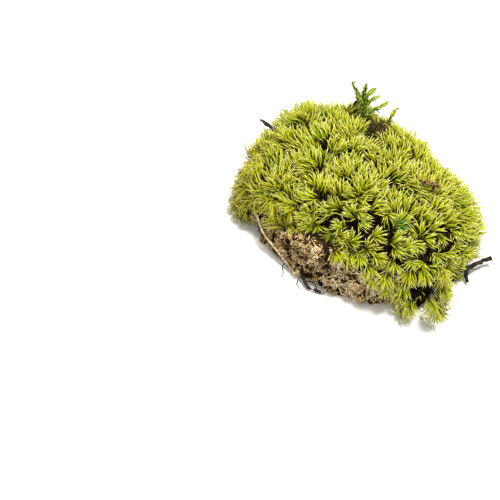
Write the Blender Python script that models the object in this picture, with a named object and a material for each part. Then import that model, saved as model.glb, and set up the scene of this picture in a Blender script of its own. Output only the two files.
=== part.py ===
"""A torn-off clump of broom fork-moss on its mat of peat, with the litter that is caught in it.

Metres, +Z up. The clump rests on its flat-cut underside at z = 0, and its torn peat edge faces -Y and -X.
Every piece hangs on one empty, which puts the middle of the whole clump's footprint at x = 0, y = 0.
"""

import math

import bpy
import bmesh
from mathutils import Quaternion, Vector, noise

MM = 0.001
GAP = 0.35 * MM

# The whole clump: its footprint on the ground, walked anticlockwise from its right-hand side.
FOOTPRINT = [
    (63, -16), (61, 5), (50, 25), (33, 41), (18, 53), (-6, 63), (-30, 61), (-48, 47),
    (-58, 25), (-66, 0), (-45, -20), (-18, -36), (8, -50), (26, -54), (40, -59), (50, -42),
]
CLUMP_HEIGHT = 42 * MM
CLUMP_CROWN = Vector((-2, 4, 0)) * MM
SIDE_SQUARENESS = 0.6
CROWN_FLATNESS = 0.9
CLUMP_SIDES = 72
CLUMP_LEVELS = 12
HUMMOCK_SPACING = 13 * MM
HUMMOCK_HEIGHT = 2 * MM

# The peat mat: its wall stands open along the torn edge, and moss hangs over it everywhere else.
MAT_OUTLINE = [
    (50, -18), (47, 2), (38, 17), (24, 30), (8, 43), (-10, 50), (-28, 48), (-42, 36),
    (-49, 17), (-50, -3), (-43, -21), (-19.5, -40), (7, -50), (20, -49), (30, -40), (40, -30),
]
MAT_HEIGHT = 21 * MM
MAT_FALL = 9 * MM
MAT_FALL_FROM = -25 * MM
MAT_FALL_WIDTH = 23 * MM
MAT_SIDES = 80
MAT_LEVELS = 5
MAT_SHOULDER = 0.86
MAT_MIDDLE = 0.5
MAT_UNDERCUT = 0.03
MAT_ROUGHNESS = 1.0 * MM
MAT_CRUMB_SPACING = 6 * MM
TORN_EDGE_FACING = Vector((-0.45, -0.89, 0))
TORN_EDGE_DEPTH = 32 * MM
TORN_EDGE_LEAN = 4.5 * MM
TORN_EDGE_REACH = 25 * MM

# Bunches of shoots that gaps part from the cushion: the middle of each, its half-sizes, and its turn about Z.
TUFTS = {
    "left_tuft": ((-62.6, 1.3, 12.4), (16.3, 21.4, 26.2), -14.5, (0.42, 0.42, 0.04, 1)),
    "yellow_tuft": ((-33.5, -26, 20), (12, 8.5, 10), -38, (0.50, 0.42, 0.03, 1)),
    "front_tuft": ((38, -55, 10), (19, 16, 23), 10, (0.20, 0.34, 0.03, 1)),
}

# The frond of feather moss that stands at the back: each branch runs through points measured from its foot.
SPRIG_FOOT = Vector((-0.5, 37.4, 36.0)) * MM
SPRIG_BRANCHES = {
    "stem": ([(1, -3, -7), (0, 0, 0), (-1.7, 3.6, 5.2), (-4.4, 6.6, 9.7), (-7.4, 8.8, 13.4)], 1.5),
    "first": ([(-1.9, 4.8, 6.9), (-1.2, 7.4, 10.4), (-0.7, 9.6, 13.1)], 1.1),
    "second": ([(-1.5, 3.6, 5.2), (0.7, 6.5, 8.9), (4.1, 9.0, 11.4)], 1.1),
    "third": ([(-0.9, 2.2, 3.2), (2.0, 5.0, 6.5), (6.3, 7.1, 8.4)], 1.1),
    "fourth": ([(0, 0, 0), (3.5, 2.4, 2.8), (7.8, 4.1, 4.4), (11.2, 6.2, 6.4)], 1.2),
    "left": ([(-1.4, 2.8, 4.2), (-3.2, 4.6, 6.9), (-5.2, 5.6, 8.2)], 1.0),
}

# What else is caught in the clump: the points each piece runs through, their half-widths, and the section's
# flatness.
LITTER = {
    "small_frond": ([(10, 33, 29), (11.5, 35.9, 35), (14, 39.8, 39.8), (15.9, 41, 41)], (1.2, 1.3, 1.2, 0.5), 0.6),
    "forked_twig": ([(46, -30, 7), (52, -28.5, 6.3), (57, -24.8, 4.6), (62, -20.5, 4.2), (67.7, -17.6, 5)],
                    (1.2, 1.35, 1.3, 1.15, 1.25), 0.9),
    "bark_strip": ([(-51, 35.4, 28.3), (-47.6, 30.3, 30.9), (-42.5, 24.8, 32.6)], (1.5, 2.2, 1.2), 0.35),
    "dry_stem": ([(-47, -13, 13), (-43.3, -20.8, 10.5), (-36, -27.8, 7), (-27.5, -35.6, 3.2)],
                 (0.4, 0.5, 0.5, 0.4), 1.0),
    "root_wisp": ([(-25, -30, 7), (-21.5, -39.5, 3.6), (-17.6, -44.8, 1.6), (-12, -46.2, 1.5)],
                  (0.8, 0.9, 0.7, 0.5), 0.8),
    "bark_crumb": ([(-6, 40.5, 34), (-5.2, 43.2, 36.6), (-4.4, 45.6, 38.4)], (1.2, 1.7, 0.9), 0.7),
    "dead_leaf": ([(31, -2, 36.6), (34.5, -4, 38.2), (38.5, -4.6, 37.4)], (1.0, 2.2, 0.9), 0.3),
}
TWIG_STUB = ([(56.5, -25.2, 4.7), (56.2, -28.4, 3.4), (57.4, -31, 2.4)], (1.0, 1.1, 0.85), 0.9)

COLOURS = {
    "moss_cushion": (0.36, 0.42, 0.05, 1),
    "peat_mat": (0.16, 0.10, 0.05, 1),
    "feather_moss_sprig": (0.16, 0.32, 0.03, 1),
    "small_frond": (0.20, 0.34, 0.04, 1),
    "forked_twig": (0.06, 0.04, 0.02, 1),
    "bark_strip": (0.05, 0.03, 0.02, 1),
    "dry_stem": (0.42, 0.34, 0.20, 1),
    "root_wisp": (0.07, 0.05, 0.03, 1),
    "bark_crumb": (0.08, 0.04, 0.02, 1),
    "dead_leaf": (0.24, 0.12, 0.06, 1),
}


def plain_material(name, colour, roughness=0.85):
    material = bpy.data.materials.new(name)
    material.use_nodes = True
    shader = material.node_tree.nodes["Principled BSDF"]
    shader.inputs["Base Color"].default_value = colour
    shader.inputs["Roughness"].default_value = roughness
    shader.inputs["Metallic"].default_value = 0.0
    return material


def spline_point(before, start, end, after, t):
    """The point at t, from 0 to 1, on the smooth curve from start to end (Catmull-Rom)."""
    return 0.5 * (
        2 * start
        + (end - before) * t
        + (2 * before - 5 * start + 4 * end - after) * t * t
        + (3 * start - before - 3 * end + after) * t ** 3
    )


def closed_curve(points, count):
    """A number of points, evenly along a smooth closed curve through some plan points given in millimetres."""
    corners = [Vector((x, y, 0)) * MM for x, y in points]
    curve = []
    for step in range(count):
        corner, t = divmod(step * len(corners) / count, 1)
        around = [corners[(int(corner) + k) % len(corners)] for k in (-1, 0, 1, 2)]
        curve.append(spline_point(*around, t))
    return curve


def open_curve(points, steps):
    """Points on a smooth curve through the given ones, with some steps in each stretch."""
    ends = [2 * points[0] - points[1]] + points + [2 * points[-1] - points[-2]]
    curve = []
    for k in range(1, len(ends) - 2):
        curve += [spline_point(*ends[k - 1:k + 3], step / steps) for step in range(steps)]
    return curve + [points[-1]]


def loft(name, rings, material=None):
    """A closed solid whose skin runs from ring to ring, with a flat cap at each end."""
    bm = bmesh.new()
    loops = [[bm.verts.new(point) for point in ring] for ring in rings]
    for low, high in zip(loops, loops[1:]):
        for k in range(len(low)):
            following = (k + 1) % len(low)
            bm.faces.new((low[k], low[following], high[following], high[k]))
    bm.faces.new(list(reversed(loops[0])))
    bm.faces.new(loops[-1])
    bmesh.ops.recalc_face_normals(bm, faces=bm.faces)
    mesh = bpy.data.meshes.new(name)
    bm.to_mesh(mesh)
    bm.free()
    mesh.shade_smooth()
    mesh.set_sharp_from_angle(angle=math.radians(50))
    if material:
        mesh.materials.append(material)
    piece = bpy.data.objects.new(name, mesh)
    bpy.context.scene.collection.objects.link(piece)
    return piece


def as_guide(piece):
    """Marks an object that only cuts or joins others."""
    piece.hide_render = True
    piece.display_type = "WIRE"
    return piece


def combine(piece, other, operation):
    boolean = piece.modifiers.new(operation.lower() + "_" + other.name, "BOOLEAN")
    boolean.operation = operation
    boolean.solver = "EXACT"
    if isinstance(other, bpy.types.Collection):
        boolean.operand_type = "COLLECTION"
        boolean.collection = other
    else:
        boolean.object = other


def dome(name, material=None):
    """The whole clump from the ground to the tips of its shoots, with low hummocks all over."""
    footprint = closed_curve(FOOTPRINT, CLUMP_SIDES)
    rings = []
    for level in range(CLUMP_LEVELS + 1):
        climb = math.radians(86) * level / CLUMP_LEVELS
        share = math.cos(climb) ** SIDE_SQUARENESS
        height = CLUMP_HEIGHT * math.sin(climb) ** CROWN_FLATNESS
        ring = []
        for foot in footprint:
            point = CLUMP_CROWN.lerp(foot, share) + Vector((0, 0, height))
            outward = (foot - CLUMP_CROWN).normalized().lerp(Vector((0, 0, 1)), level / CLUMP_LEVELS)
            swell = noise.noise(point / HUMMOCK_SPACING) * HUMMOCK_HEIGHT
            ring.append(point + outward * swell if level else point)
        rings.append(ring)
    return loft(name, rings, material)


def mat_top(foot):
    """How high the mat is over a point of its outline: it thins out towards the left end of the torn edge."""
    return MAT_HEIGHT - MAT_FALL * min(max((MAT_FALL_FROM - foot.x) / MAT_FALL_WIDTH, 0), 1)


def peat_mat(name, material=None, grow=0.0, torn_reach=0.0):
    """The slab of peat: crumbly wall, leaning back along the torn edge, and flat underside.

    grow and torn_reach swell it into the space kept for it."""
    outline = closed_curve(MAT_OUTLINE, MAT_SIDES)
    rings = []
    for level in range(MAT_LEVELS + 1):
        rise = level / MAT_LEVELS
        ring = []
        for foot in outline:
            outward = foot.normalized()
            point = foot * (1 - MAT_UNDERCUT * (1 - rise)) + Vector((0, 0, mat_top(foot) * rise))
            rough = noise.noise(point / MAT_CRUMB_SPACING) * MAT_ROUGHNESS
            facing = foot.dot(TORN_EDGE_FACING) > TORN_EDGE_DEPTH
            reach = torn_reach - TORN_EDGE_LEAN * rise if facing else 0.0
            ring.append(point + outward * (rough + grow + reach))
        rings.append(ring)
    for point in rings[-1]:
        point.z += grow
    rings.append([foot * MAT_SHOULDER + Vector((0, 0, mat_top(foot) + grow)) for foot in outline])
    rings.append([foot * MAT_MIDDLE + Vector((0, 0, MAT_HEIGHT + grow)) for foot in outline])
    if grow:
        rings.insert(0, [Vector((point.x, point.y, -5 * MM)) for point in rings[0]])
    return loft(name, rings, material)


def sweep(name, points, widths, flatness=1.0, material=None, grow=0.0, sides=8, steps=3):
    """A tapering round or flattened stalk along a smooth curve through some points, all in metres."""
    path = open_curve(points, steps)
    path[0] += (path[0] - path[1]).normalized() * grow
    path[-1] += (path[-1] - path[-2]).normalized() * grow
    tangents = []
    for k in range(len(path)):
        tangents.append((path[min(k + 1, len(path) - 1)] - path[max(k - 1, 0)]).normalized())
    frame = Vector((0, 0, 1)).rotation_difference(tangents[0])
    rings = []
    for k, centre in enumerate(path):
        if k:
            frame = tangents[k - 1].rotation_difference(tangents[k]) @ frame
        stretch, t = divmod(k / steps, 1)
        last = len(widths) - 1
        width = widths[int(stretch)] * (1 - t) + widths[min(int(stretch) + 1, last)] * t
        ring = []
        for side in range(sides):
            turn = math.tau * side / sides
            across = Vector((math.cos(turn) * (width + grow), math.sin(turn) * (width * flatness + grow), 0))
            ring.append(centre + frame @ across)
        rings.append(ring)
    return loft(name, rings, material)


def stalks(name, parts, material, pockets):
    """One piece joined from some stalks, and the room for it in whatever it pokes into."""
    joined = None
    for key, (points, widths, flatness) in parts.items():
        points = [Vector(point) * MM for point in points]
        widths = [width * MM for width in widths]
        pocket = sweep(f"{name}_{key}_pocket", points, widths, flatness, grow=GAP)
        bpy.context.scene.collection.objects.unlink(pocket)
        pockets.objects.link(as_guide(pocket))
        if joined is None:
            joined = sweep(name, points, widths, flatness, material)
        else:
            combine(joined, as_guide(sweep(f"{name}_{key}", points, widths, flatness, material)), "UNION")
    return joined


def tuft_region(name, middle, half_sizes, turn, grow=0.0):
    """The egg-shaped stretch of the clump that a tuft takes up."""
    bm = bmesh.new()
    bmesh.ops.create_icosphere(bm, subdivisions=3, radius=1.0)
    bmesh.ops.scale(bm, verts=bm.verts, vec=[size * MM + grow for size in half_sizes])
    turned = Quaternion((0, 0, 1), math.radians(turn)).to_matrix()
    bmesh.ops.rotate(bm, verts=bm.verts, matrix=turned)
    bmesh.ops.translate(bm, verts=bm.verts, vec=Vector(middle) * MM)
    mesh = bpy.data.meshes.new(name)
    bm.to_mesh(mesh)
    bm.free()
    region = bpy.data.objects.new(name, mesh)
    bpy.context.scene.collection.objects.link(region)
    return as_guide(region)


def build_litter(pockets):
    """The sprig, twig, stems and crumbs."""
    materials = {name: plain_material(name, colour) for name, colour in COLOURS.items()}
    branches = {}
    for key, (points, width) in SPRIG_BRANCHES.items():
        placed = [tuple(Vector(point) + SPRIG_FOOT / MM) for point in points]
        widths = [width] * (len(points) - 1) + [width * 0.4]
        branches[key] = (placed, widths, 0.6)
    pieces = [stalks("feather_moss_sprig", branches, materials["feather_moss_sprig"], pockets)]
    for name, run in LITTER.items():
        parts = {"main": run}
        if name == "forked_twig":
            parts["stub"] = TWIG_STUB
        pieces.append(stalks(name, parts, materials[name], pockets))
    return pieces


def build_clump():
    """The mat, the cushion and the tufts, each cut clear of the others and of the litter."""
    pockets = bpy.data.collections.new("pockets")
    bpy.context.scene.collection.children.link(pockets)
    pieces = build_litter(pockets)

    mat = peat_mat("peat_mat", plain_material("peat", COLOURS["peat_mat"]))
    mat_room = as_guide(peat_mat("mat_room", grow=GAP, torn_reach=TORN_EDGE_REACH))
    cushion = dome("moss_cushion", plain_material("moss", COLOURS["moss_cushion"]))
    combine(cushion, mat_room, "DIFFERENCE")
    tufts = []
    for name, (middle, half_sizes, turn, colour) in TUFTS.items():
        tuft = dome(name, plain_material(name, colour))
        combine(tuft, tuft_region(name + "_region", middle, half_sizes, turn), "INTERSECT")
        combine(tuft, mat_room, "DIFFERENCE")
        combine(cushion, tuft_region(name + "_room", middle, half_sizes, turn, grow=GAP), "DIFFERENCE")
        tufts.append(tuft)
    for piece in [mat, cushion] + tufts:
        combine(piece, pockets, "DIFFERENCE")
        pieces.append(piece)
    return pieces


def centre_on_footprint(pieces):
    """Hangs every piece on one empty, placed so that the clump's box stands centred on the origin."""
    clump = bpy.data.objects.new("moss_clump", None)
    bpy.context.scene.collection.objects.link(clump)
    seen = bpy.context.evaluated_depsgraph_get()
    corners = []
    for piece in pieces:
        mesh = piece.evaluated_get(seen).to_mesh()
        corners += [vertex.co.copy() for vertex in mesh.vertices]
    for axis in (0, 1):
        values = [corner[axis] for corner in corners]
        clump.location[axis] = -(min(values) + max(values)) / 2
    clump.location.z = -min(corner.z for corner in corners)
    for thing in list(bpy.data.objects):
        if thing is not clump:
            thing.parent = clump


for leftover in list(bpy.data.objects):
    bpy.data.objects.remove(leftover, do_unlink=True)
centre_on_footprint(build_clump())
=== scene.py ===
"""A torn-off clump of broom fork-moss on its mat of peat, as it lies on a white table.

The sections follow the clump from the peat up: mat, dead core, living shoots, tufts, feather moss, litter
and table. Left is -X and front is -Y, and the torn edge of the peat faces the front left.
"""

import math

import bmesh
import bpy
import numpy as np
from mathutils import Matrix, Vector, noise
from mathutils.bvhtree import BVHTree


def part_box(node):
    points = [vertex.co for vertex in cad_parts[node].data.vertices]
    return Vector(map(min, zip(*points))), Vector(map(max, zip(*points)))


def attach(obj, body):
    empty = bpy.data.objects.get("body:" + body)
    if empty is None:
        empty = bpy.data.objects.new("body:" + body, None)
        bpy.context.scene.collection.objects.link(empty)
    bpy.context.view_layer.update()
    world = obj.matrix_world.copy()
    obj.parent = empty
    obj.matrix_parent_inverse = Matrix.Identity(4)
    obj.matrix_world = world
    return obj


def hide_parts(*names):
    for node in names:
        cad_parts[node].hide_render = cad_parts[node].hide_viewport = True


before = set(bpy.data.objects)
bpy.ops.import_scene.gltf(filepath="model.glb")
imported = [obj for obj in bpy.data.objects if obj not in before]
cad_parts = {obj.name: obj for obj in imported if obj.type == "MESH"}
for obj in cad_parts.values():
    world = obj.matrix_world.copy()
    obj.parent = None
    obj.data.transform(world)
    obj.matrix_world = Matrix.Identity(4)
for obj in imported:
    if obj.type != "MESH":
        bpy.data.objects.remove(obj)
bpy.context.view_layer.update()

# ---------------------------------------------------------------- peat mat
# The mat is a slab of peat: dead moss stems, brown rhizoids and crumbs of humus, felted together by growth.
# It was torn off the ground by hand, so its wall is ragged, and it lies on a flat underside.

MM = 0.001
PEAT_GRAIN = 0.9 * MM
PEAT_LUMP_SIZE = 6.0 * MM
PEAT_LUMP_HEIGHT = 2.4 * MM
PEAT_CRUMB_SIZE = 2.2 * MM
PEAT_CRUMB_HEIGHT = 1.3 * MM
PEAT_FLAT_BELOW = 0.4 * MM
WELD_DISTANCE = 0.001 * MM
ORGANIC_IOR = 1.45


def linear(hex_colour):
    """A linear colour, with alpha, from an sRGB hex string."""
    channels = [int(hex_colour[k:k + 2], 16) / 255 for k in (0, 2, 4)]
    return [c / 12.92 if c <= 0.04045 else ((c + 0.055) / 1.055) ** 2.4 for c in channels] + [1.0]


def add_node(material, kind, settings=None, links=None):
    """Adds one node: settings are properties or socket values, and links are sockets and what feeds them."""
    node = material.node_tree.nodes.new(kind)
    for key, value in (settings or {}).items():
        if isinstance(key, str) and hasattr(node, key):
            setattr(node, key, value)
        else:
            node.inputs[key].default_value = value
    for key, source in (links or {}).items():
        material.node_tree.links.new(source, node.inputs[key])
    return node


def new_material(name, roughness, shine=0.5):
    """A material and its Principled shader. Shine is the specular level, 0.5 for a plain dry skin."""
    material = bpy.data.materials.new(name)
    material.use_nodes = True
    shader = material.node_tree.nodes["Principled BSDF"]
    shader.inputs["Roughness"].default_value = roughness
    shader.inputs["Specular IOR Level"].default_value = shine
    shader.inputs["IOR"].default_value = ORGANIC_IOR
    return material, shader


def set_ramp(ramp, stops):
    """Gives a colour ramp its stops, as pairs of place and hex colour."""
    elements = ramp.color_ramp.elements
    while len(elements) < len(stops):
        elements.new(0.5)
    for element, (place, colour) in zip(elements, stops):
        element.position = place
        element.color = linear(colour)


def place_piece(name, mesh, material, node):
    """Makes the piece that shows a mesh. It rides on the clump and stands for a CAD node."""
    piece = bpy.data.objects.new(name, mesh)
    mesh.materials.append(material)
    bpy.context.scene.collection.objects.link(piece)
    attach(piece, "root")
    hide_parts(node)


def merged_copy(*nodes):
    """A bmesh of some CAD nodes, with each one's loose triangles merged."""
    bm = bmesh.new()
    for node in nodes:
        bm.from_mesh(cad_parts[node].data)
    bmesh.ops.remove_doubles(bm, verts=bm.verts, dist=WELD_DISTANCE)
    return bm


def remeshed(bm, grain):
    """A mesh of even small faces over a closed bmesh, which it frees."""
    rough = bpy.data.meshes.new("rough")
    bm.to_mesh(rough)
    bm.free()
    holder = bpy.data.objects.new("rough", rough)
    bpy.context.scene.collection.objects.link(holder)
    voxels = holder.modifiers.new("even", "REMESH")
    voxels.mode = "VOXEL"
    voxels.voxel_size = grain
    seen = holder.evaluated_get(bpy.context.evaluated_depsgraph_get())
    mesh = bpy.data.meshes.new_from_object(seen)
    bpy.data.objects.remove(holder)
    bpy.data.meshes.remove(rough)
    return mesh


def roughen(mesh, layers, keep_below=0.0):
    """Pushes vertices above a height out and in, by layers of noise, each a size and a height in metres."""
    mesh.update()
    normals = [vertex.normal.copy() for vertex in mesh.vertices]
    for vertex, normal in zip(mesh.vertices, normals):
        if vertex.co.z > keep_below:
            push = sum(noise.noise(vertex.co / size) * height for size, height in layers)
            vertex.co += normal * push
            vertex.co.z = max(vertex.co.z, 0)
    mesh.update()
    mesh.shade_smooth()


peat_mesh = remeshed(merged_copy("peat_mat"), PEAT_GRAIN)
peat_lumps = [(PEAT_LUMP_SIZE, PEAT_LUMP_HEIGHT), (PEAT_CRUMB_SIZE, PEAT_CRUMB_HEIGHT)]
roughen(peat_mesh, peat_lumps, keep_below=PEAT_FLAT_BELOW)

# Moist peat: matt and crumbly, in random patches from near-black to mid brown. The near-black is painted
# shade, for the dark gaps between the fibres and in the bare pits, cleft and overhang.
peat, peat_shader = new_material("moist_peat", roughness=0.95, shine=0.15)
peat_place = add_node(peat, "ShaderNodeTexCoord").outputs["Object"]
peat_patches = add_node(peat, "ShaderNodeTexNoise", {"Scale": 1 / (4 * MM), "Detail": 6, "Roughness": 0.7},
                        {"Vector": peat_place})
peat_colour = add_node(peat, "ShaderNodeValToRGB", links={"Fac": peat_patches.outputs["Fac"]})
set_ramp(peat_colour, [(0.36, "080402"), (0.50, "1e1208"), (0.62, "463218"), (0.76, "7e6338")])
peat_grit = add_node(peat, "ShaderNodeTexNoise", {"Scale": 1 / (0.5 * MM), "Detail": 3},
                     {"Vector": peat_place})
peat_bump = add_node(peat, "ShaderNodeBump", {"Strength": 0.8, "Distance": 0.4 * MM},
                     {"Height": peat_grit.outputs["Fac"]})
peat.node_tree.links.new(peat_colour.outputs["Color"], peat_shader.inputs["Base Color"])
peat.node_tree.links.new(peat_bump.outputs["Normal"], peat_shader.inputs["Normal"])
place_piece("peat_slab", peat_mesh, peat, "peat_mat")

# ---------------------------------------------------------------- peat fibres
# Torn rhizoids and dead leaves stand out of the broken wall as short curled fibres, tan where they are dry.
# Each is a thin closed blade, bent by its own amount, and they are laid over each other like felt.

FIBRE_SEED = 11
FIBRE_COUNT = 7000
FIBRE_LENGTH = 2.4 * MM
FIBRE_WIDTH = 0.6 * MM
WALL_SAMPLES = 9 * FIBRE_COUNT
UNDERSIDE = -0.85
TORN_SIDE_FROM = 18 * MM
PIT_SIZE = 3 * MM
PIT_LEVEL = -0.2
CLEFT_X = -10 * MM
CLEFT_Z = 14 * MM
CLEFT_LEAN = 0.25
CLEFT_HALF_WIDTH = 1.3 * MM
CLEFT_FOOT = 9 * MM
OVERHANG = 12 * MM

# A blade's map keeps this far from the edges of its square, so that no colour ramp is read past its ends.
MAP_MARGIN = 0.02
MAP_SPAN = 1 - 2 * MAP_MARGIN

rng = np.random.default_rng(FIBRE_SEED)


def blade_form(stations, thickness):
    """A closed three-sided blade one unit long along Z: its points and its triangles, as arrays."""
    bm = bmesh.new()
    bmesh.ops.create_circle(bm, cap_ends=True, segments=3, radius=0.5 * stations[0][1])
    bmesh.ops.rotate(bm, verts=bm.verts, matrix=Matrix.Rotation(math.pi, 3, "Z"))
    rim, height, share = list(bm.edges), 0.0, stations[0][1]
    for next_height, next_share in stations[1:]:
        grown = bmesh.ops.extrude_edge_only(bm, edges=rim)["geom"]
        corners = [part for part in grown if isinstance(part, bmesh.types.BMVert)]
        rim = [part for part in grown if isinstance(part, bmesh.types.BMEdge)]
        swell = next_share / share
        bmesh.ops.scale(bm, verts=corners, vec=(swell, swell, 1))
        bmesh.ops.translate(bm, verts=corners, vec=(0, 0, next_height - height))
        height, share = next_height, next_share
    grown = bmesh.ops.extrude_edge_only(bm, edges=rim)["geom"]
    corners = [part for part in grown if isinstance(part, bmesh.types.BMVert)]
    bmesh.ops.pointmerge(bm, verts=corners, merge_co=(0, 0, 1))
    bmesh.ops.scale(bm, verts=bm.verts, vec=(1, thickness, 1))
    bmesh.ops.triangulate(bm, faces=bm.faces)
    bmesh.ops.recalc_face_normals(bm, faces=bm.faces)
    points = np.array([vertex.co[:] for vertex in bm.verts])
    triangles = np.array([[vertex.index for vertex in face.verts] for face in bm.faces])
    bm.free()
    return points, triangles


def unit(vectors):
    return vectors / np.maximum(np.linalg.norm(vectors, axis=-1, keepdims=True), 1e-12)


def blades_mesh(name, form, roots, leads, bends, lengths, widths, curls, tones):
    """Joins many blades in one mesh. Each leaves its root along its lead and curls towards its bend.

    A blade that would touch the table is left out. The map OFBake holds the way along the blade and, across
    that, the blade's tone, so that a colour can follow both."""
    points, triangles = form
    leads = unit(leads)
    bends = unit(bends - leads * np.sum(bends * leads, axis=1, keepdims=True))
    sides = np.cross(bends, leads)
    across, through, along = points.T
    angle = curls[:, None] * along
    reach = (lengths / curls)[:, None] * np.sin(angle)
    drop = (lengths / curls)[:, None] * (1 - np.cos(angle))
    lead, bend, side = leads[:, None, :], bends[:, None, :], sides[:, None, :]
    facing = lead * np.sin(angle)[..., None] - bend * np.cos(angle)[..., None]
    across_by = (across * widths[:, None])[..., None]
    through_by = (through * widths[:, None])[..., None]
    places = roots[:, None, :] + lead * reach[..., None] + bend * drop[..., None]
    places = places + side * across_by + facing * through_by

    kept = places[..., 2].min(axis=1) > 0
    places, tones = places[kept], tones[kept]
    count, corners = len(places), len(points)
    faces = (triangles[None] + corners * np.arange(count)[:, None, None]).reshape(-1, 3)
    mesh = bpy.data.meshes.new(name)
    mesh.vertices.add(count * corners)
    mesh.vertices.foreach_set("co", places.astype(np.float32).ravel())
    mesh.loops.add(faces.size)
    mesh.loops.foreach_set("vertex_index", faces.astype(np.int32).ravel())
    mesh.polygons.add(len(faces))
    mesh.polygons.foreach_set("loop_start", np.arange(0, faces.size, 3, dtype=np.int32))
    mesh.update(calc_edges=True)
    mesh.shade_smooth()

    tone_place = MAP_MARGIN + MAP_SPAN * np.clip(tones, 0, 1)[:, None] + 0.4 * MAP_MARGIN * across
    way_place = np.broadcast_to(MAP_MARGIN + MAP_SPAN * along + 0.5 * MAP_MARGIN * through, tone_place.shape)
    corner_map = np.stack([way_place, tone_place], axis=-1).reshape(-1, 2)[faces.ravel()]
    layer = mesh.uv_layers.new(name="OFBake")
    layer.data.foreach_set("uv", corner_map.astype(np.float32).ravel())
    return mesh


def triangles_of(mesh):
    """Corners, normals and areas of a mesh's triangles."""
    mesh.calc_loop_triangles()
    places = np.empty(len(mesh.vertices) * 3, np.float32)
    mesh.vertices.foreach_get("co", places)
    index = np.empty(len(mesh.loop_triangles) * 3, np.int32)
    mesh.loop_triangles.foreach_get("vertices", index)
    corners = places.reshape(-1, 3)[index.reshape(-1, 3)].astype(float)
    cross = np.cross(corners[:, 1] - corners[:, 0], corners[:, 2] - corners[:, 0])
    return corners, unit(cross), np.linalg.norm(cross, axis=1) / 2


def spread_over(mesh, count):
    """A number of points spread evenly at random over a mesh, with the way each faces."""
    corners, normals, areas = triangles_of(mesh)
    chosen = rng.choice(len(areas), count, p=areas / areas.sum())
    first, second = rng.random((2, count, 1))
    over = (first + second) > 1
    first, second = np.where(over, 1 - first, first), np.where(over, 1 - second, second)
    a, b, c = corners[chosen].transpose(1, 0, 2)
    return a + first * (b - a) + second * (c - a), normals[chosen]


def tree_of(*nodes):
    """A search tree over some CAD nodes, to find what lies in front of a point."""
    corners = np.concatenate([triangles_of(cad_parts[node].data)[0] for node in nodes])
    faces = np.arange(len(corners) * 3).reshape(-1, 3)
    return BVHTree.FromPolygons(corners.reshape(-1, 3).tolist(), faces.tolist())


def in_the_open(points, ways, tree, reach):
    """Which points have nothing before them within reach, from a hair's breadth off the surface."""
    free = []
    for point, way in zip(points, ways):
        ray = Vector(way)
        free.append(tree.ray_cast(Vector(point) + ray * (0.1 * MM), ray, reach)[0] is None)
    return np.array(free)


def noise_at(points, size, seed):
    """Smooth noise from about -1 to 1 at each point."""
    return np.array([noise.noise(Vector(point) / size + Vector((seed, 0, 0))) for point in points])


def palette_material(name, roughness, shine, tones):
    """Plant matter coloured by a blade's own map. A row is a tone and its base, middle and tip colours."""
    material, shader = new_material(name, roughness, shine)
    ways = add_node(material, "ShaderNodeUVMap", {"uv_map": "OFBake"})
    split = add_node(material, "ShaderNodeSeparateXYZ", links={"Vector": ways.outputs["UV"]})
    colours = []
    for column in (1, 2, 3):
        ramp = add_node(material, "ShaderNodeValToRGB", links={"Fac": split.outputs["Y"]})
        set_ramp(ramp, [(MAP_MARGIN + MAP_SPAN * row[0], row[column]) for row in tones])
        colours.append(ramp.outputs["Color"])
    colour, middle, tip = colours
    for start, end, upper in ((0.05, 0.45, middle), (0.55, 1.0, tip)):
        share = add_node(material, "ShaderNodeMapRange",
                         {"interpolation_type": "SMOOTHSTEP", "From Min": start, "From Max": end},
                         {"Value": split.outputs["X"]})
        mix = add_node(material, "ShaderNodeMix", {"data_type": "RGBA"})
        material.node_tree.links.new(share.outputs["Result"], mix.inputs["Factor"])
        material.node_tree.links.new(colour, mix.inputs["A"])
        material.node_tree.links.new(upper, mix.inputs["B"])
        colour = mix.outputs["Result"]
    material.node_tree.links.new(colour, shader.inputs["Base Color"])
    return material


moss_nodes = ["moss_cushion", "left_tuft", "yellow_tuft", "front_tuft"]
moss_tree = tree_of(*moss_nodes)
fibre_form = blade_form([(0, 0.6), (0.25, 1.0), (0.55, 0.9), (0.8, 0.6)], thickness=0.6)

# Bare peat shows in small pits and in one cleft down the wall, and no fibres stand under the overhang; there
# the near-black slab is painted shade.
wall_points, wall_ways = spread_over(peat_mesh, WALL_SAMPLES)
wall_heights = wall_points[:, 2]
bare = noise_at(wall_points, PIT_SIZE, 5.0) < PIT_LEVEL
off_cleft = wall_points[:, 0] - CLEFT_X + CLEFT_LEAN * (wall_heights - CLEFT_Z)
bare |= (np.abs(off_cleft) < CLEFT_HALF_WIDTH) & (wall_heights > CLEFT_FOOT)
torn_way = unit(np.array([-0.45, -0.89, 0.0]))
on_torn_side = wall_points @ torn_way > TORN_SIDE_FROM
on_wall = on_torn_side & (wall_ways[:, 2] > UNDERSIDE) & (wall_heights > 0.5 * MM) & ~bare
wall_points, wall_ways = wall_points[on_wall], wall_ways[on_wall]
open_ways = unit(wall_ways * [1, 1, 0] + np.array([-0.2, -0.4, 0.2]))
seen = in_the_open(wall_points, open_ways, moss_tree, OVERHANG)
wall_points, wall_ways = wall_points[seen][:FIBRE_COUNT], wall_ways[seen][:FIBRE_COUNT]
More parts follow.
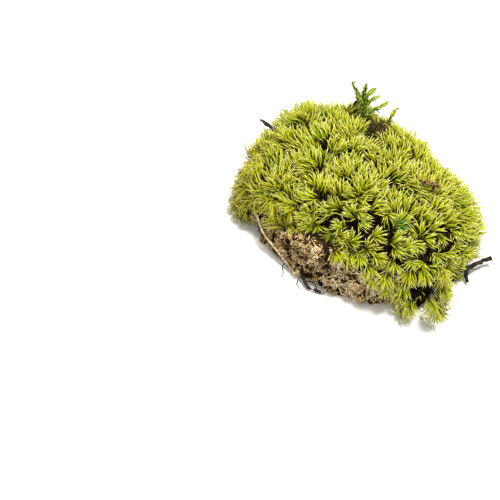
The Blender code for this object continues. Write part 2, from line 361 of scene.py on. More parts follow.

# The wall has dried paler in patches of a few millimetres, and is darker to the left as painted shade.
fibres = len(wall_points)
fibre_leads = unit(wall_ways * 0.7 + unit(rng.normal(size=(fibres, 3))))
painted_shade_to_left = np.clip((wall_points[:, 0] + 14 * MM) / (30 * MM), -0.5, 0.5)
fibre_tones = 0.64 + 0.75 * noise_at(wall_points, 4 * MM, 0.0) + 0.5 * (rng.beta(1.3, 1.3, fibres) - 0.5)
fibre_tones += 0.3 * painted_shade_to_left
fibre_mesh = blades_mesh(
    "peat_fibres", fibre_form, wall_points - wall_ways * 0.3 * MM, fibre_leads, rng.normal(size=(fibres, 3)),
    FIBRE_LENGTH * rng.uniform(0.5, 1.5, fibres), FIBRE_WIDTH * rng.uniform(0.6, 1.4, fibres),
    rng.uniform(0.8, 3.2, fibres), fibre_tones)

# Dry rhizoids and dead moss leaves: matt, from dark brown through tan to straw at their bleached tips.
dry_fibre = palette_material("dry_rhizoids", 0.85, 0.2, [
    (0.0, "120a04", "24160a", "38260f"),
    (0.25, "4a3517", "846636", "a2834c"),
    (0.5, "806438", "c0a168", "d8bd86"),
    (0.75, "a88c54", "dfc692", "f0dcae"),
    (1.0, "c6ae7a", "f2e2bc", "fcf2d8"),
])
place_piece("peat_fibres", fibre_mesh, dry_fibre, "peat_mat")

# ---------------------------------------------------------------- dead core
# Under the living shoots stands the dark mass of their own dead stems, felted with brown rhizoids.
# It shows only as black-brown depth between the shoots, so it is a plain rough body well below their tips.

CORE_PLAN = 0.86
CORE_HEIGHT = 0.76
CORE_LIFT = 0.6 * MM
CORE_GRAIN = 1.8 * MM

core_form = merged_copy(*moss_nodes)
cushion_low, cushion_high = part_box("moss_cushion")
core_middle = Vector(((cushion_low.x + cushion_high.x) / 2, (cushion_low.y + cushion_high.y) / 2, 0))
bmesh.ops.translate(core_form, verts=core_form.verts, vec=-core_middle)
bmesh.ops.scale(core_form, verts=core_form.verts, vec=(CORE_PLAN, CORE_PLAN, CORE_HEIGHT))
bmesh.ops.translate(core_form, verts=core_form.verts, vec=core_middle + Vector((0, 0, CORE_LIFT)))
core_mesh = remeshed(core_form, CORE_GRAIN)
roughen(core_mesh, [(5 * MM, 1.6 * MM), (2 * MM, 0.8 * MM)], keep_below=1.2 * MM)

# Dead stems and rhizoids, wet: matt, brown-black with a little olive, darker still as painted shade deep
# between the shoots.
dead_stems, dead_shader = new_material("dead_moss_stems", roughness=0.95, shine=0.05)
dead_place = add_node(dead_stems, "ShaderNodeTexCoord").outputs["Object"]
dead_patches = add_node(dead_stems, "ShaderNodeTexNoise", {"Scale": 1 / (2.5 * MM), "Detail": 5},
                        {"Vector": dead_place})
dead_colour = add_node(dead_stems, "ShaderNodeValToRGB", links={"Fac": dead_patches.outputs["Fac"]})
set_ramp(dead_colour, [(0.35, "090702"), (0.55, "191206"), (0.75, "33270f")])
dead_stems.node_tree.links.new(dead_colour.outputs["Color"], dead_shader.inputs["Base Color"])
place_piece("dead_core", core_mesh, dead_stems, "moss_cushion")

# ---------------------------------------------------------------- living shoots
# Each shoot of broom fork-moss is an upright stem with a plume of narrow, curved leaves swept to one side.
# They stand shoulder to shoulder over the whole clump, upright on the crown and leaning out at the edge.

SHOOT_SEED = 4
SHOOT_SAMPLES = 9000
SHOOT_SPACING = 6.1 * MM
SHOOT_DEPTH = 6.4 * MM
SHOOT_REACH = 6 * MM
LEAF_LENGTH = 9.2 * MM
LEAF_WIDTH = 0.73 * MM
LEAVES_ON_SHOOT = 34
DEAD_LEAVES_ON_SHOOT = 9
LEAF_OPENING = 36
LEAF_CURL = (0.7, 2.0)
STRAY_LEAVES = 0.012
WORN_LEAVES = 0.3
# Tones from here up are near-black dead leaves: their own brown and painted shade deep in the moss together.
DEAD_AND_SHADED_TONE = 0.96
PLUME_LENGTH = 5.0 * MM
STEM_RADIUS = 0.35 * MM
LOOSE_RADIUS = 3.3 * MM
GOLDEN_ANGLE = math.radians(137.5)
TABLE_CLEARANCE = 0.3 * MM
UP = np.array([0.0, 0.0, 1.0])

# Hollows where no shoot stands: the middle of each and its radius, in millimetres.
HOLLOWS = [
    ((4, 28, 40), 7.5), ((8, 33, 37), 6.0), ((5, 21, 41), 5.0), ((37, -37, 31), 4.2),
    ((43, -25, 32), 3.4), ((-47, -5, 34), 5.6), ((-37, -15, 34), 5.2), ((-44, 2, 37), 4.6),
    ((-16, -35, 29), 4.5), ((33, -59, 14), 5.2), ((12, -40, 30), 2.8), ((30, -49, 24), 4.4),
    ((24, 0, 42), 2.6), ((-28, 30, 38), 3.4), ((-18, -16, 40), 3.0), ((40, -54, 19), 4.0),
    ((22, -52, 21), 3.6), ((-19, -3, 41), 3.4), ((1, -4, 42), 3.2), ((30, -55, 20), 4.4),
    ((-9, 5, 42), 3.0), ((-1, -39, 33), 2.8), ((36, -45, 29), 3.6),
]

# The shoots part at this spot by the torn edge and lean away from it, and one of them is fresh green.
PARTING = np.array([-4.0, -34.0, 0.0]) * MM
FRESH_SHOOT_AT = np.array([18.0, -33.0, 37]) * MM

leaf_form = blade_form([(0, 0.75), (0.2, 1.0), (0.5, 0.92), (0.8, 0.55)], thickness=0.5)
crown = np.array([core_middle.x, core_middle.y, 0.0])


def stand_shoots(node, spacing):
    """Where shoots stand on the outside of a CAD node, no closer than a spacing, and the way each faces."""
    points, ways = spread_over(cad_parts[node].data, SHOOT_SAMPLES)
    outside = (ways[:, 2] > -0.35) & in_the_open(points, ways, clump_tree, SHOOT_REACH)
    points, ways = points[outside], ways[outside]
    room = spacing * (1 + 0.25 * noise_at(points, 9 * MM, 3.0))
    for middle, radius in HOLLOWS:
        inside = np.linalg.norm(points - np.array(middle) * MM, axis=1) < radius * MM
        points, ways, room = points[~inside], ways[~inside], room[~inside]
    chosen = []
    for k, point in enumerate(points):
        near = np.linalg.norm(points[chosen] - point, axis=1) if chosen else np.array([1.0])
        if near.min() > room[k]:
            chosen.append(k)
    return points[chosen], ways[chosen]


def clear_of_table(roots, leads, bends, lengths, curls):
    """Turns the leaves that would run into the table so that they rise from it instead."""
    for along in (0.5, 1.0):
        angle = curls * along
        climb = leads[:, 2] * np.sin(angle) + bends[:, 2] * (1 - np.cos(angle))
        touching = roots[:, 2] + lengths / curls * climb < TABLE_CLEARANCE
        leads[touching, 2] = np.abs(leads[touching, 2])
        bends[touching, 2] = np.abs(bends[touching, 2])
    return leads, bends


def rising(values, start, width):
    """A share for each value: 0 up to the start, 1 from a width past it, and even between."""
    return np.clip((values - start) / width, 0, 1)


def plumes(points, ways, sweeps, tones, length=1.0, spread=1.0, loose=0.0):
    """The leaves of some shoots, from the tip down: roots, leads, bends, lengths, widths, curls and tones.

    A loose shoot, 1 rather than 0, has no head of its own: its leaves stand apart and comb the same way.
    The lowest leaves are dead and shorter, and near-black with painted shade deep in the shoot; a few others
    are withered, and a tight shoot has lost some."""
    count = len(points)
    loose = np.broadcast_to(loose, count)[:, None]
    length = np.broadcast_to(length, count)[:, None]
    axes = unit(ways + UP * 0.3 + sweeps * 0.5 + rng.normal(scale=0.13, size=(count, 3)))
    tips = points - axes * (SHOOT_DEPTH * length * rng.uniform(0.7, 1.3, (count, 1)))
    first = unit(np.cross(axes, rng.normal(size=(count, 3))))
    second = np.cross(axes, first)
    total = LEAVES_ON_SHOOT + DEAD_LEAVES_ON_SHOOT
    down = (np.arange(total) + 0.5) / LEAVES_ON_SHOOT
    dead = (down > 1.0) * 1.0
    turn = GOLDEN_ANGLE * np.arange(total) + rng.uniform(0, math.tau, (count, 1))
    open_angle = np.radians(4 + LEAF_OPENING * np.clip(down, 0, 1.2) * spread * (1 - 0.6 * loose))
    open_angle = open_angle + rng.normal(scale=0.11, size=(count, total))
    radial = np.cos(turn)[..., None] * first[:, None] + np.sin(turn)[..., None] * second[:, None]
    axis = axes[:, None, :]
    leads = axis * np.cos(open_angle)[..., None] + radial * np.sin(open_angle)[..., None]
    apart = STEM_RADIUS + LOOSE_RADIUS * loose * np.sqrt(rng.random((count, total)))
    roots = tips[:, None, :] - axis * (down * PLUME_LENGTH * length)[..., None] + radial * apart[..., None]
    bends = radial * (0.55 - 0.4 * loose)[..., None] + sweeps[:, None, :]
    bends = bends + rng.normal(scale=0.3, size=leads.shape)
    size = rng.uniform(0.8, 1.12, (count, total)) * (0.85 + 0.25 * np.clip(down, 0, 1)) * (1 - 0.4 * dead)
    tone = tones[:, None] + rng.normal(scale=0.04, size=(count, total))
    stray = rng.random((count, total)) < STRAY_LEAVES
    tone = np.where(stray, rng.uniform(0.88, 0.95, (count, total)), tone)
    # The dead leaves take the near-black tones, their own brown and painted shade deep in the shoot.
    tone = np.where(dead > 0, rng.uniform(DEAD_AND_SHADED_TONE, 1.0, (count, total)), np.clip(tone, 0.0, 0.95))

    roots, leads, bends = (way.reshape(-1, 3) for way in (roots, leads, bends))
    lengths = (LEAF_LENGTH * length * size).ravel()
    curls = rng.uniform(*LEAF_CURL, count * total)
    leads, bends = unit(leads), unit(bends)
    leads, bends = clear_of_table(roots, leads, bends, lengths, curls)
    worn_off = rng.random((count, total)) < WORN_LEAVES * (1 - loose)
    kept = (roots[:, 2] > 2 * TABLE_CLEARANCE) & ~worn_off.ravel()
    widths = (LEAF_WIDTH * rng.uniform(0.8, 1.15, (count, total))).ravel()
    return [column[kept] for column in (roots, leads, bends, lengths, widths, curls, tone.ravel())]


# Living moss leaves: smooth and a little glossy. Their dark base colour where they clasp the stem is painted
# shade deep between the shoots; they are brighter yellow-green along the blade and straw-pale at the tip,
# partly the dry tip and partly painted highlight. Tones run from fresh green through yellow-green to olive,
# and the last four are withered and dead leaves, the last two near-black with painted shade deep in the
# moss.
moss_leaf = palette_material("broom_moss_leaf", 0.6, 0.22, [
    (0.0, "0c2806", "1f6c1c", "58a848"),
    (0.2, "2a3001", "929f08", "e2e282"),
    (0.5, "343701", "a8ab0c", "eae790"),
    (0.64, "3a3901", "a7a20b", "dfd974"),
    (0.76, "383401", "98920a", "c8c25c"),
    (0.86, "443201", "a0840e", "c8b048"),
    (0.9, "3a2a0a", "8a6824", "bc9a52"),
    (0.95, "1c1a08", "4e4218", "7e6c38"),
    (1.0, "0a0903", "1e190a", "3a3014"),
])

# The leaves comb outwards, less so on the crown, and wander from that in patches of about a centimetre.
rng = np.random.default_rng(SHOOT_SEED)
clump_tree = tree_of("peat_mat", *moss_nodes)
shoot_points, shoot_ways = stand_shoots("moss_cushion", SHOOT_SPACING)
outward = unit((shoot_points - PARTING) * [1, 1, 0])
edge = rising(np.linalg.norm((shoot_points - crown)[:, :2], axis=1), 0, 50 * MM)
front = rising(-shoot_points[:, 1], 8 * MM, 20 * MM)
wander = math.radians(45) * (1 + front) * noise_at(shoot_points, 11 * MM, 9.0) / 0.4
across = np.stack([-outward[:, 1], outward[:, 0], np.zeros(len(outward))], axis=1)
shoot_sweeps = outward * np.cos(wander)[:, None] + across * np.sin(wander)[:, None]
shoot_sweeps = shoot_sweeps * (0.5 + 0.5 * edge)[:, None]

# Along the torn edge the lowest shoots have nothing under them, and hang over the peat.
torn_side = rising(shoot_points @ torn_way, 28 * MM, 6 * MM)
hanging = torn_side * rising(-shoot_points[:, 2], -28 * MM, 8 * MM)
shoot_ways = unit(shoot_ways - UP * 0.75 * hanging[:, None])
shoot_sweeps = shoot_sweeps - UP * 0.9 * hanging[:, None]

# They are more olive at the left and a little greener in front.
left = rising(-shoot_points[:, 0], 38 * MM, 18 * MM)
shoot_tones = 0.47 - 0.08 * front + 0.12 * left + 0.2 * noise_at(shoot_points, 12 * MM, 21.0)
shoot_tones = shoot_tones + rng.normal(scale=0.05, size=len(shoot_points))
fresh_shoot = np.argmin(np.linalg.norm(shoot_points - FRESH_SHOOT_AT, axis=1))
shoot_tones[fresh_shoot] = 0.08

# Older shoots on the outer slopes have outgrown the rest by a millimetre or two. In front the shoots have
# tight, short heads, and everywhere else they are loose.
back_left = rising(-shoot_points[:, 0], 12 * MM, 22 * MM) * rising(shoot_points[:, 1], 12 * MM, 20 * MM)
right = rising(shoot_points[:, 0], 44 * MM, 12 * MM)
shoot_loose = 1 - front
shoot_length = 1 - 0.14 * front
shoot_rise = (0.9 * shoot_loose + 2.0 * back_left + 1.2 * right) * MM
shoot_points = shoot_points + shoot_ways * shoot_rise[:, None]

# The cushion's leaves are joined in six sectors, each a piece of its own.
SECTORS = ["right", "back_right", "back", "left", "front_left", "front"]
bearing = np.degrees(np.arctan2(*(shoot_points - crown)[:, [1, 0]].T)) % 360
sector_of = (bearing // (360 / len(SECTORS))).astype(int)
for number, sector in enumerate(SECTORS):
    here = sector_of == number
    shoots = plumes(shoot_points[here], shoot_ways[here], shoot_sweeps[here], shoot_tones[here],
                    length=shoot_length[here], loose=shoot_loose[here])
    name = "moss_shoots_" + sector
    place_piece(name, blades_mesh(name, leaf_form, *shoots), moss_leaf, "moss_cushion")

# ---------------------------------------------------------------- tufts at the edge
# Three bunches of shoots hang over the torn edge, apart from the rest: an olive one at the left end, a
# yellow one beside it, and a bright one at the front. Their own weight has combed them outwards and down.

# How each tuft grows: its spacing in millimetres, its leaves' length and spread against the cushion's, its
# tone, the way it is combed, and how far its shoots stand out from the CAD node, in millimetres.
TUFT_HABITS = {
    "left_tuft": (6.0, 1.1, 0.8, 0.68, (-0.75, -0.4, -0.5), 0.0),
    "yellow_tuft": (4.8, 1.25, 0.35, 0.64, (0.45, -0.45, -0.6), 1.0),
    "front_tuft": (7.0, 1.05, 0.9, 0.45, (0.2, -0.8, -0.6), 5.5),
}
for node, (spacing, length, spread, tone, sweep, rise) in TUFT_HABITS.items():
    points, ways = stand_shoots(node, spacing * MM)
    ways = unit(ways + np.array(sweep) * 0.35)
    points = points + ways * rise * MM
    sweeps = np.array(sweep) + rng.normal(scale=0.2, size=points.shape)
    tones = tone + rng.normal(scale=0.06, size=len(points))
    shoots = plumes(points, ways, sweeps, tones, length, spread)
    living = shoots[-1] < DEAD_AND_SHADED_TONE
    shoots = [column[living] for column in shoots]
    name = node + "_shoots"
    place_piece(name, blades_mesh(name, leaf_form, *shoots), moss_leaf, node)

# A few young shoots have also taken hold on the broken wall itself, and droop from under the rim.
WALL_SHOOTS = [(-5, -45, 25), (0, -48, 22.5), (5.7, -50.5, 20.5), (11.6, -52.5, 18), (17.5, -53.8, 14.5),
               (3.2, -47, 26), (10, -50, 23.5), (16.5, -52, 20), (22, -52.5, 15.5), (24.5, -54, 10.5)]
wall_feet = np.array(WALL_SHOOTS) * MM
wall_outward = unit([-0.1, -0.85, 0.5] + rng.normal(scale=0.25, size=wall_feet.shape))
wall_droop = [0.1, -0.5, -0.75] + rng.normal(scale=0.2, size=wall_feet.shape)
drooping = plumes(wall_feet + wall_outward * 3 * MM, wall_outward, wall_droop,
                  rng.uniform(0.35, 0.55, len(wall_feet)), length=0.85, spread=1.1)
place_piece("drooping_shoots", blades_mesh("drooping_shoots", leaf_form, *drooping), moss_leaf,
            "moss_cushion")

# ---------------------------------------------------------------- feather moss
# A frond of red-stemmed feather moss stands at the back, and a smaller one beside it. Each stem is clothed
# all round in small hollow leaves that overlap like tiles, dark on the old stem and yellow-green on the
# new tips.

FEATHER_LEAF_LENGTH = 3.1 * MM
FEATHER_LEAF_WIDTH = 1.15 * MM
FEATHER_LEAF_STEP = 0.15 * MM
SPRIG_STEM_RADIUS = 0.32 * MM
FROND_STEM_RADIUS = 0.3 * MM
STALK_STEP = 0.8 * MM
STALK_SIDES = 6
STALK_TAPER = 0.6

# Each branch of the sprig: the points it runs through from the foot, in millimetres, and its tone at root
# and tip. The first is the stem.
SPRIG_FOOT = np.array([-1.5, 35.2, 36.0])
SPRIG_BRANCHES = [
    ([(1, -3, -7), (0, 0, 0), (-1.7, 3.6, 5.2), (-4.4, 6.6, 9.7), (-7.4, 8.8, 13.4), (-6.2, 9.2, 14.6)],
     0.0, 0.75),
    ([(-1.9, 4.8, 6.9), (-1.2, 7.4, 10.4), (-0.7, 9.6, 13.1)], 0.2, 0.8),
    ([(-1.5, 3.6, 5.2), (0.7, 6.5, 8.9), (4.1, 9.0, 11.4)], 0.2, 0.8),
    ([(-0.9, 2.2, 3.2), (2.0, 5.0, 6.5), (6.3, 7.1, 8.4)], 0.3, 0.9),
    ([(0, 0, 0), (3.5, 2.4, 2.8), (7.8, 4.1, 4.4), (11.2, 6.2, 6.4)], 0.25, 0.95),
    ([(-1.4, 2.8, 4.2), (-3.2, 4.6, 6.9), (-4.6, 5.9, 8.8)], 0.3, 0.8),
]

# The small frond and the dead leaf are given in the part's own millimetres, which the frame is moved from.
PART_TO_FRAME = np.array([-1.01, -2.159, 0.0])
SMALL_FROND = ([(10, 33, 29), (11.5, 35.9, 35), (14, 39.8, 39.8), (15.9, 41, 41)], 0.4, 0.95)


def smooth_run(points, step):
    """Points a small step apart on a smooth curve through some points given in millimetres."""
    points = np.array(points, float) * MM
    ends = np.concatenate([[2 * points[0] - points[1]], points, [2 * points[-1] - points[-2]]])
    run = []
    for k in range(1, len(ends) - 2):
        before, start, end, after = ends[k - 1:k + 3]
        steps = max(2, int(np.linalg.norm(end - start) / step))
        t = (np.arange(steps) / steps)[:, None]
        square = (2 * before - 5 * start + 4 * end - after) * t ** 2
        cube = (3 * start - before - 3 * end + after) * t ** 3
        run.append(0.5 * (2 * start + (end - before) * t + square + cube))
    return np.concatenate(run + [points[-1:]])


def leafy_branch(points, root_tone, tip_tone):
    """The overlapping leaves of one feather-moss branch, which get smaller over its last third."""
    run = smooth_run(points, FEATHER_LEAF_STEP)
    ways = unit(np.gradient(run, axis=0))
    count = len(run)
    first = unit(np.cross(ways, [0.3, -0.8, 0.5]))
    second = np.cross(ways, first)
    turn = (GOLDEN_ANGLE * np.arange(count))[:, None]
    radial = first * np.cos(turn) + second * np.sin(turn)
    along = np.linspace(0, 1, count)
    taper = 1 - 0.55 * rising(along, 0.7, 0.3)
    leads = ways * 0.72 + radial * 0.85 + rng.normal(scale=0.25, size=run.shape)
    tones = root_tone + (tip_tone - root_tone) * along + rng.normal(scale=0.16, size=count)
    return [run, leads, ways + radial * 0.2, FEATHER_LEAF_LENGTH * taper * rng.uniform(0.8, 1.15, count),
            FEATHER_LEAF_WIDTH * taper * rng.uniform(0.85, 1.1, count), rng.uniform(0.3, 0.7, count),
            np.clip(tones, 0, 1)]


def stalk_mesh(name, runs, radius):
    """Thin tapering stalks in one mesh: a ring is drawn along each run of points and closed at both ends."""
    bm = bmesh.new()
    for run in runs:
        ring = bmesh.ops.create_circle(bm, segments=STALK_SIDES, radius=radius)["verts"]
        rim = list(dict.fromkeys(edge for vertex in ring for edge in vertex.link_edges))
        ways = [Vector(way) for way in unit(np.gradient(run, axis=0))]
        turn = Vector((0, 0, 1)).rotation_difference(ways[0]).to_matrix()
        bmesh.ops.rotate(bm, verts=ring, matrix=turn)
        bmesh.ops.translate(bm, verts=ring, vec=Vector(run[0]))
        bmesh.ops.edgeloop_fill(bm, edges=rim)
        for k in range(1, len(run)):
            grown = bmesh.ops.extrude_edge_only(bm, edges=rim)["geom"]
            ring = [part for part in grown if isinstance(part, bmesh.types.BMVert)]
            rim = [part for part in grown if isinstance(part, bmesh.types.BMEdge)]
            turn = ways[k - 1].rotation_difference(ways[k]).to_matrix()
            bmesh.ops.rotate(bm, verts=ring, cent=Vector(run[k - 1]), matrix=turn)
            bmesh.ops.translate(bm, verts=ring, vec=Vector(run[k]) - Vector(run[k - 1]))
            thin = 1 - STALK_TAPER * k / len(run)
            wide = 1 - STALK_TAPER * (k - 1) / len(run)
            here = Matrix.Translation(-Vector(run[k]))
            bmesh.ops.scale(bm, verts=ring, vec=(thin / wide,) * 3, space=here)
        bmesh.ops.edgeloop_fill(bm, edges=rim)
    bmesh.ops.recalc_face_normals(bm, faces=bm.faces)
    mesh = bpy.data.meshes.new(name)
    bm.to_mesh(mesh)
    bm.free()
    mesh.shade_smooth()
    return mesh


# Feather-moss leaves: thin, concave and glossy, deep green when old, and yellow-green at the growing tips.
feather_leaf = palette_material("feather_moss_leaf", 0.4, 0.5, [
    (0.0, "1c2c04", "385606", "6a821a"),
    (0.35, "38500a", "688410", "98a82a"),
    (0.7, "5c6c0a", "94a41c", "bcc248"),
    (1.0, "7a8010", "b0b42c", "d6d468"),
])
feather_form = blade_form([(0, 0.55), (0.25, 1.0), (0.5, 0.9), (0.78, 0.45)], thickness=0.25)

# Feather-moss stem: a wiry red-brown thread, smooth and slightly glossy.
feather_stem, feather_stem_shader = new_material("feather_moss_stem", roughness=0.5, shine=0.4)
stem_place = add_node(feather_stem, "ShaderNodeTexCoord").outputs["Object"]
stem_streaks = add_node(feather_stem, "ShaderNodeTexNoise", {"Scale": 1 / (0.8 * MM)},
                        {"Vector": stem_place})
stem_colour = add_node(feather_stem, "ShaderNodeValToRGB", links={"Fac": stem_streaks.outputs["Fac"]})
set_ramp(stem_colour, [(0.4, "3a1a08"), (0.6, "6e3512")])
feather_stem.node_tree.links.new(stem_colour.outputs["Color"], feather_stem_shader.inputs["Base Color"])

branches = [(SPRIG_FOOT + np.array(run), root_tone, tip_tone) for run, root_tone, tip_tone in SPRIG_BRANCHES]
leaves = [np.concatenate(columns) for columns in zip(*(leafy_branch(*branch) for branch in branches))]
stems = [smooth_run(run, STALK_STEP) for run, root_tone, tip_tone in branches]
place_piece("feather_moss_leaves", blades_mesh("feather_moss_leaves", feather_form, *leaves),
            feather_leaf, "feather_moss_sprig")
place_piece("feather_moss_stems", stalk_mesh("feather_moss_stems", stems, SPRIG_STEM_RADIUS),
            feather_stem, "feather_moss_sprig")

frond_run = PART_TO_FRAME + np.array(SMALL_FROND[0])
frond_leaves = leafy_branch(frond_run, *SMALL_FROND[1:])
frond_stem = smooth_run(frond_run, STALK_STEP)
place_piece("small_frond_leaves", blades_mesh("small_frond_leaves", feather_form, *frond_leaves),
            feather_leaf, "small_frond")
place_piece("small_frond_stem", stalk_mesh("small_frond_stem", [frond_stem], FROND_STEM_RADIUS),
            feather_stem, "small_frond")

# ---------------------------------------------------------------- withered shoots
# Old shoots round the foot of the feather moss have died back to a brown, matted tangle about a dark hole.
# They are the same broom moss, shorter than the living shoots and spread wider. Their leaves take the
# darkest tones, their own withered brown and painted shade of the hole together.

# Where each withered shoot stands, in millimetres.
WITHERED_AT = [(-2, 33, 37.5), (2, 31.5, 38), (7, 33.5, 37), (10, 29.5, 37.5), (5, 28, 38), (4, 35, 37.5),
               (9, 35, 37), (1, 26.5, 37.5), (12, 32.5, 36), (6, 31, 38), (-5, 37, 36.5), (-7.5, 36.5, 36),
               (5, 24, 38.5), (0, 36.5, 38), (12, 36, 35.5)]
withered_points = np.array(WITHERED_AT) * MM
withered_ways = unit(withered_points - crown - UP * 20 * MM)
withered_sweeps = rng.normal(scale=0.5, size=withered_points.shape)
withered = plumes(withered_points, withered_ways, withered_sweeps, np.full(len(withered_points), 0.9),
                  length=0.8, spread=1.3)
# The darkest tones: withered brown and painted shade of the hole.
withered[-1] = rng.uniform(0.93, 1.0, len(withered[-1]))
place_piece("withered_shoots", blades_mesh("withered_shoots", leaf_form, *withered), moss_leaf,
            "moss_cushion")

# ---------------------------------------------------------------- twig and bark
# A broken, forked twig sticks out of the right side, bits of bark lie in the moss, and a root trails from
# the torn wall. They are dead wood, dark and weathered, that the moss grew over.

WOOD_GRAIN = 0.28 * MM
ROOT_GRAIN = 0.25 * MM
ROOTLET_RADIUS = 0.34 * MM
CRUMB_TRIM = (0.8, 0.5, 0.5)

# Weathered bark: matt, fissured, near-black in the furrows and grey-brown on the ridges.
old_bark, bark_shader = new_material("weathered_bark", roughness=0.85, shine=0.25)
bark_place = add_node(old_bark, "ShaderNodeTexCoord").outputs["Object"]
bark_patches = add_node(old_bark, "ShaderNodeTexNoise",
                        {"Scale": 1 / (1.6 * MM), "Detail": 6, "Roughness": 0.65}, {"Vector": bark_place})
bark_colour = add_node(old_bark, "ShaderNodeValToRGB", links={"Fac": bark_patches.outputs["Fac"]})
set_ramp(bark_colour, [(0.35, "0a0704"), (0.5, "20170f"), (0.62, "3c2e21"), (0.75, "6a5642")])
bark_fissures = add_node(old_bark, "ShaderNodeTexVoronoi", {"Scale": 1 / (0.9 * MM)},
                         {"Vector": bark_place})
bark_bump = add_node(old_bark, "ShaderNodeBump", {"Strength": 0.7, "Distance": 0.25 * MM},
                     {"Height": bark_fissures.outputs["Distance"]})
old_bark.node_tree.links.new(bark_colour.outputs["Color"], bark_shader.inputs["Base Color"])
old_bark.node_tree.links.new(bark_bump.outputs["Normal"], bark_shader.inputs["Normal"])

# Only the tip of the bark crumb stands clear of the moss, so it is trimmed towards its highest point.
for node in ("forked_twig", "bark_strip", "bark_crumb"):
    wood_form = merged_copy(node)
    if node == "bark_crumb":
        highest = max(wood_form.verts, key=lambda vertex: vertex.co.z)
        about_tip = Matrix.Translation(-highest.co)
        bmesh.ops.scale(wood_form, verts=wood_form.verts, vec=CRUMB_TRIM, space=about_tip)
    wood = remeshed(wood_form, WOOD_GRAIN)
    roughen(wood, [(1.8 * MM, 0.45 * MM), (0.8 * MM, 0.25 * MM)])
    place_piece(node + "_wood", wood, old_bark, node)

root_wood = remeshed(merged_copy("root_wisp"), ROOT_GRAIN)
roughen(root_wood, [(2 * MM, 0.5 * MM), (0.8 * MM, 0.2 * MM)])
place_piece("root_wood", root_wood, old_bark, "root_wisp")

# Finer roots branch off it, each a thread that wanders on from one point of the torn edge, in millimetres.
ROOTLETS = [
    [(-22.5, -41, 3.5), (-24.5, -44, 2.4), (-23.8, -46.6, 1.2), (-21.5, -47.8, 0.8)],
    [(-21, -44, 2.2), (-17.8, -43.6, 2.0), (-15.2, -45.4, 1.4), (-15, -48, 0.8)],
    [(-30, -34, 4.5), (-32.6, -37.4, 3.0), (-31.4, -40.4, 1.6), (-33, -42.4, 0.8)],
    [(-16, -46.8, 1.6), (-13.2, -49, 1.2), (-10.6, -48.6, 1.0)],
]
rootlet_runs = [smooth_run(run, STALK_STEP) for run in ROOTLETS]
place_piece("rootlets", stalk_mesh("rootlets", rootlet_runs, ROOTLET_RADIUS),
            old_bark, "root_wisp")

# ---------------------------------------------------------------- dry stem and dead leaf
# A bleached grass stem lies against the torn wall, with one end caught under the moss. A dead leaf has dried
# and crumbled to a scrap of curled brown shreds on top of the clump.

STRAW_GRAIN = 0.2 * MM
SCRAP_RUN = [(31.5, -2.2, 37.4), (34.5, -4, 38.6), (38, -4.6, 38)]
SCRAP_STEP = 0.35 * MM
SHRED_LENGTHS = (2.5, 5.0)
SHRED_WIDTHS = (0.9, 1.7)

# Dry grass: straw-coloured, hard and slightly glossy, with duller patches where it has weathered.
straw, straw_shader = new_material("dry_grass_stem", roughness=0.45, shine=0.4)
straw_place = add_node(straw, "ShaderNodeTexCoord").outputs["Object"]
straw_patches = add_node(straw, "ShaderNodeTexNoise", {"Scale": 1 / (2.5 * MM)}, {"Vector": straw_place})
straw_colour = add_node(straw, "ShaderNodeValToRGB", links={"Fac": straw_patches.outputs["Fac"]})
set_ramp(straw_colour, [(0.38, "8d7a52"), (0.6, "d3c59a")])
straw.node_tree.links.new(straw_colour.outputs["Color"], straw_shader.inputs["Base Color"])
straw_mesh = remeshed(merged_copy("dry_stem"), STRAW_GRAIN)
roughen(straw_mesh, [(1.5 * MM, 0.15 * MM)])
place_piece("dry_stem_straw", straw_mesh, straw, "dry_stem")

# Dead leaf: thin, dull brown shreds, curled up as they dried.
dead_blade = palette_material("dead_leaf_blade", 0.7, 0.25, [
    (0.0, "2c1a0c", "5c3a20", "8c6444"),
    (1.0, "4a2e18", "8e6240", "c09a74"),
])
scrap_run = smooth_run(PART_TO_FRAME + np.array(SCRAP_RUN), SCRAP_STEP)
shreds = len(scrap_run)
scrap_way = unit(np.gradient(scrap_run, axis=0)) * 0.5 + rng.normal(scale=0.6, size=(shreds, 3)) + UP * 0.2
scrap_mesh = blades_mesh(
    "dead_leaf_scrap", leaf_form, scrap_run - scrap_way * 1.2 * MM, scrap_way, rng.normal(size=(shreds, 3)),
    rng.uniform(*SHRED_LENGTHS, shreds) * MM, rng.uniform(*SHRED_WIDTHS, shreds) * MM,
    rng.uniform(1.0, 2.6, shreds), rng.random(shreds))
place_piece("dead_leaf_scrap", scrap_mesh, dead_blade, "dead_leaf")

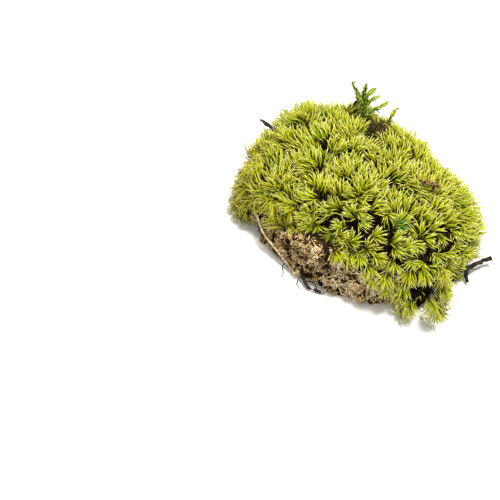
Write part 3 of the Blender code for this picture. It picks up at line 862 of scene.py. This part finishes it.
# ---------------------------------------------------------------- table, light and camera
# The clump lies on a white laminate table top in a white room. The room gives most of the light, and a round
# lamp high above, a little to the back right, gives the soft shadow at the front left.

TABLE_HALF_WIDTH = 2.0
ROOM_GLOW = 0.8
LAMP_AT = Vector((0.18, 0.12, 1.2))
LAMP_WIDTH = 0.3
LAMP_WATTS = 25
LAMP_AIM = Vector((0, 0, 0.01))
CAMERA_AT = Vector((-0.00101, -0.37396, 0.4611))
CAMERA_AIM = Vector((-0.04991, -0.02586, -0.0019))

table_form = bmesh.new()
bmesh.ops.create_grid(table_form, x_segments=1, y_segments=1, size=TABLE_HALF_WIDTH)
table_mesh = bpy.data.meshes.new("table_top")
table_form.to_mesh(table_mesh)
table_form.free()

# White laminate: pressed smooth, with a dull satin skin and no pattern.
laminate, laminate_shader = new_material("white_laminate", roughness=0.6)
laminate_shader.inputs["Base Color"].default_value = linear("e8e6e3")
table_top = bpy.data.objects.new("table_top", table_mesh)
table_mesh.materials.append(laminate)
bpy.context.scene.collection.objects.link(table_top)

world = bpy.data.worlds.new("white_room")
world.use_nodes = True
world.node_tree.nodes["Background"].inputs["Color"].default_value = (1.0, 0.99, 0.97, 1)
world.node_tree.nodes["Background"].inputs["Strength"].default_value = ROOM_GLOW
bpy.context.scene.world = world

lamp = bpy.data.objects.new("key_lamp", bpy.data.lights.new("key_lamp", "AREA"))
lamp.data.shape = "DISK"
lamp.data.size = LAMP_WIDTH
lamp.data.energy = LAMP_WATTS
lamp.location = LAMP_AT
lamp.rotation_euler = (LAMP_AIM - LAMP_AT).to_track_quat("-Z", "Y").to_euler()
bpy.context.scene.collection.objects.link(lamp)
bpy.context.scene.view_settings.view_transform = "Standard"

camera = bpy.data.objects.new("camera", bpy.data.cameras.new("camera"))
camera.data.lens = 85
camera.data.sensor_width = 36
camera.data.clip_start = 0.01
camera.location = CAMERA_AT
camera.rotation_euler = (CAMERA_AIM - CAMERA_AT).to_track_quat("-Z", "Y").to_euler()
bpy.context.scene.collection.objects.link(camera)
bpy.context.scene.camera = camera
